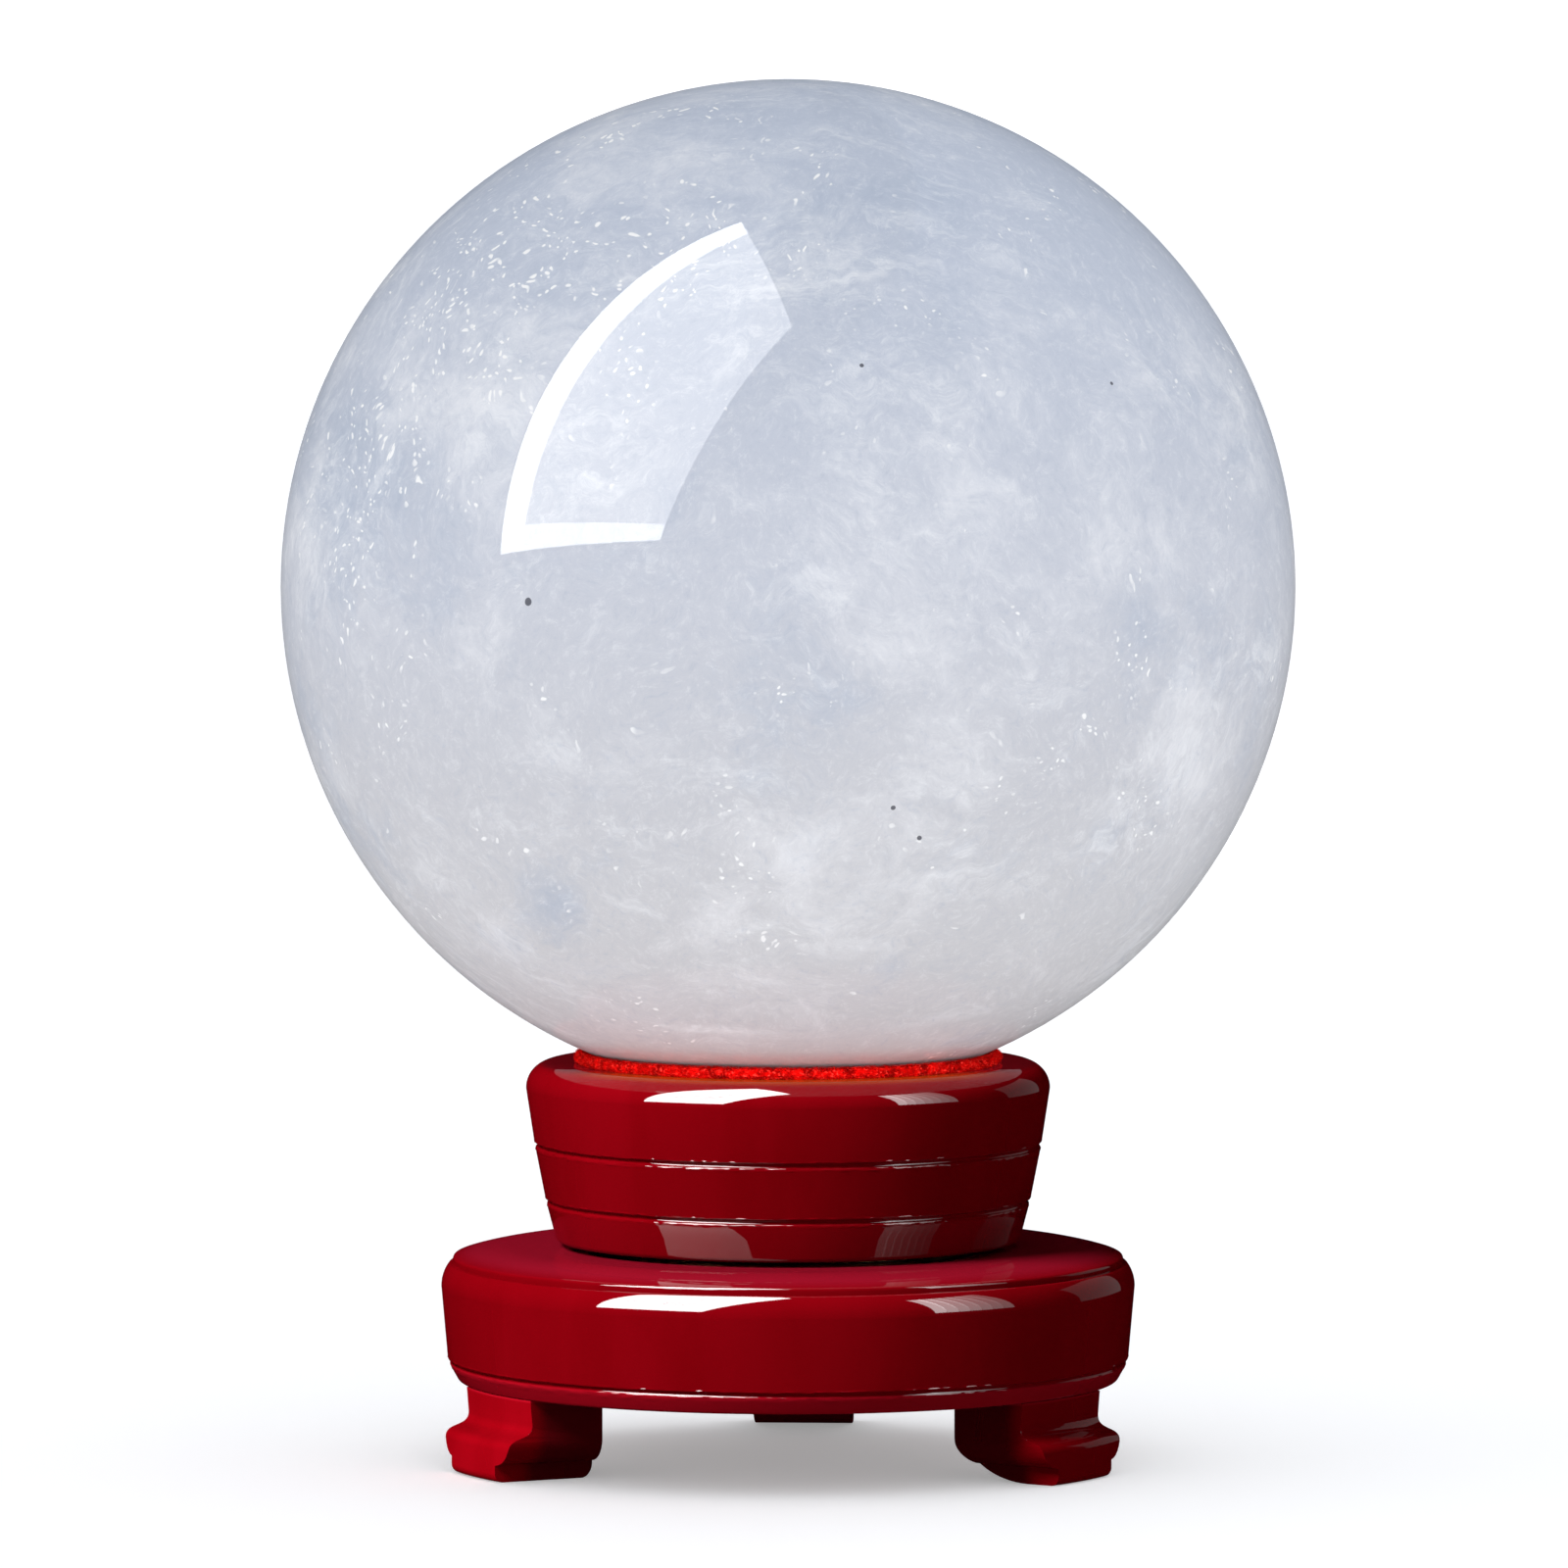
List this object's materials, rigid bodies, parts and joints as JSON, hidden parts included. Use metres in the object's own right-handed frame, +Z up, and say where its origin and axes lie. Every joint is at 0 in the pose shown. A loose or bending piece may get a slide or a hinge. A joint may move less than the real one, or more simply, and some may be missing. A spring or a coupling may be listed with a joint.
{
  "type": "crystal ball on a stand",
  "caption": "Milky quartz crystal ball that lifts out of a flocked seat in a turning red lacquered wooden cup, on a footed base disc.",
  "frame": {"origin": "on the floor plane, under the centre of the ball", "axes": "+Z up along the axis of ball, cup and base; -Y is the side seen from the front"},
  "size_m": [0.1, 0.1, 0.1365],
  "materials": {
    "quartz": "polished, milky with white veils",
    "flock": "short flocked nap",
    "lacquered_wood": "high gloss dark cherry lacquer",
    "bare_wood": "bare",
    "plate_steel": "zinc plated",
    "rivet_steel": "plated",
    "screw_steel": "plated",
    "cage_brass": "pressed",
    "ball_steel": "polished"
  },
  "bodies": {
    "base": {"base_disc": "lacquered_wood", "foot_front_right": "lacquered_wood", "foot_front_left": "lacquered_wood", "foot_rear": "lacquered_wood", "dowel_front_right_inner": "bare_wood", "dowel_front_right_outer": "bare_wood", "dowel_front_left_inner": "bare_wood", "dowel_front_left_outer": "bare_wood", "dowel_rear_inner": "bare_wood", "dowel_rear_outer": "bare_wood", "lower_plate": "plate_steel", "pivot_rivet": "rivet_steel", "lower_screw_1": "screw_steel", "lower_screw_2": "screw_steel", "lower_screw_3": "screw_steel"},
    "cup": {"cup": "lacquered_wood", "seat_pad": "flock", "upper_plate": "plate_steel", "upper_screw_1": "screw_steel", "upper_screw_2": "screw_steel", "upper_screw_3": "screw_steel"},
    "cage": {"ball_cage": "cage_brass", "bearing_ball_01": "ball_steel", "bearing_ball_02": "ball_steel", "bearing_ball_03": "ball_steel", "bearing_ball_04": "ball_steel", "bearing_ball_05": "ball_steel", "bearing_ball_06": "ball_steel", "bearing_ball_07": "ball_steel", "bearing_ball_08": "ball_steel", "bearing_ball_09": "ball_steel", "bearing_ball_10": "ball_steel", "bearing_ball_11": "ball_steel", "bearing_ball_12": "ball_steel"},
    "ball": {"crystal_ball": "quartz"}
  },
  "joints": [
    {"name": "cup_spin", "type": "hinge", "parent": "base", "child": "cup", "pos_m": [0, 0, 0.02155], "axis": [0, 0, 1], "continuous": true},
    {"name": "cage_spin", "type": "hinge", "parent": "base", "child": "cage", "pos_m": [0, 0, 0.02155], "axis": [0, 0, 1], "continuous": true},
    {"name": "ball_lift", "type": "slide", "parent": "cup", "child": "ball", "axis": [0, 0, 1], "range_m": [0, 0.08]}
  ],
  "couplings": [
    {"joint": "cage_spin", "follows": "cup_spin", "ratio": 0.5}
  ]
}
